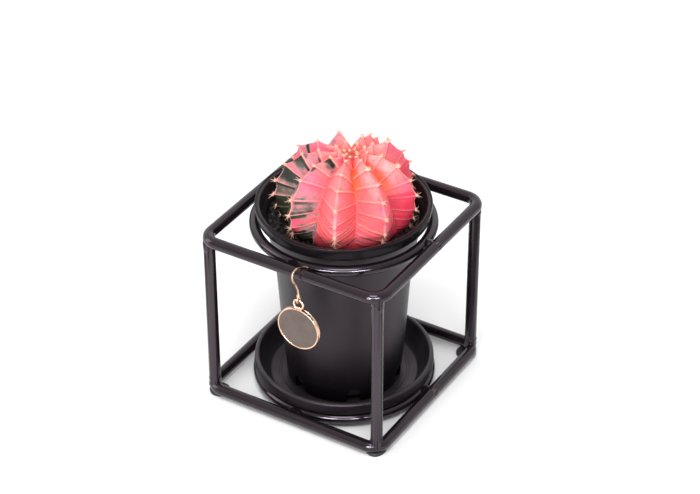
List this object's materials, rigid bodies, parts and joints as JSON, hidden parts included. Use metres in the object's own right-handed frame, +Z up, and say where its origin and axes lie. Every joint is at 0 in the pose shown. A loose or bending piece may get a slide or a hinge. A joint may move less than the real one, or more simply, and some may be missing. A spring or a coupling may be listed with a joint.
{
  "type": "potted gymnocalycium",
  "caption": "Pink ribbed cactus in a black pot and saucer, held in a welded cube stand of round rod, with a round tag hung from its top rod.",
  "frame": {"origin": "on the surface that the feet stand on, under the middle of the object's outline", "axes": "+Z up; -Y is the side that the tag hangs on; X runs along that side's top rod"},
  "size_m": [0.1028, 0.1074, 0.1343],
  "materials": {
    "rod": "satin black powder coat",
    "foot": "matte black pad",
    "saucer": "satin moulded black",
    "pot": "fine matte moulded black",
    "soil": "loose dark potting grit",
    "cactus": "waxy coral pink flesh with dark green patches",
    "gold": "polished rose gold plate",
    "enamel": "dark grey enamel, bare"
  },
  "bodies": {
    "stand": {"top_loop": "rod", "bottom_loop": "rod", "pot_ring": "rod", "saucer_ring": "rod", "post_front_left": "rod", "post_front_right": "rod", "post_back_right": "rod", "post_back_left": "rod", "foot_front_left": "foot", "foot_front_right": "foot", "foot_back_right": "foot", "foot_back_left": "foot", "saucer": "saucer", "pot": "pot", "soil": "soil", "cactus": "cactus", "hook": "gold"},
    "tag": {"tag_disc": "gold", "tag_enamel_front": "enamel", "tag_enamel_back": "enamel"}
  },
  "joints": [
    {"name": "tag_swing", "type": "hinge", "parent": "stand", "child": "tag", "pos_m": [0.0062, -0.0483, 0.0778], "axis": [1, 0, 0], "range_deg": [-90, 35]}
  ]
}
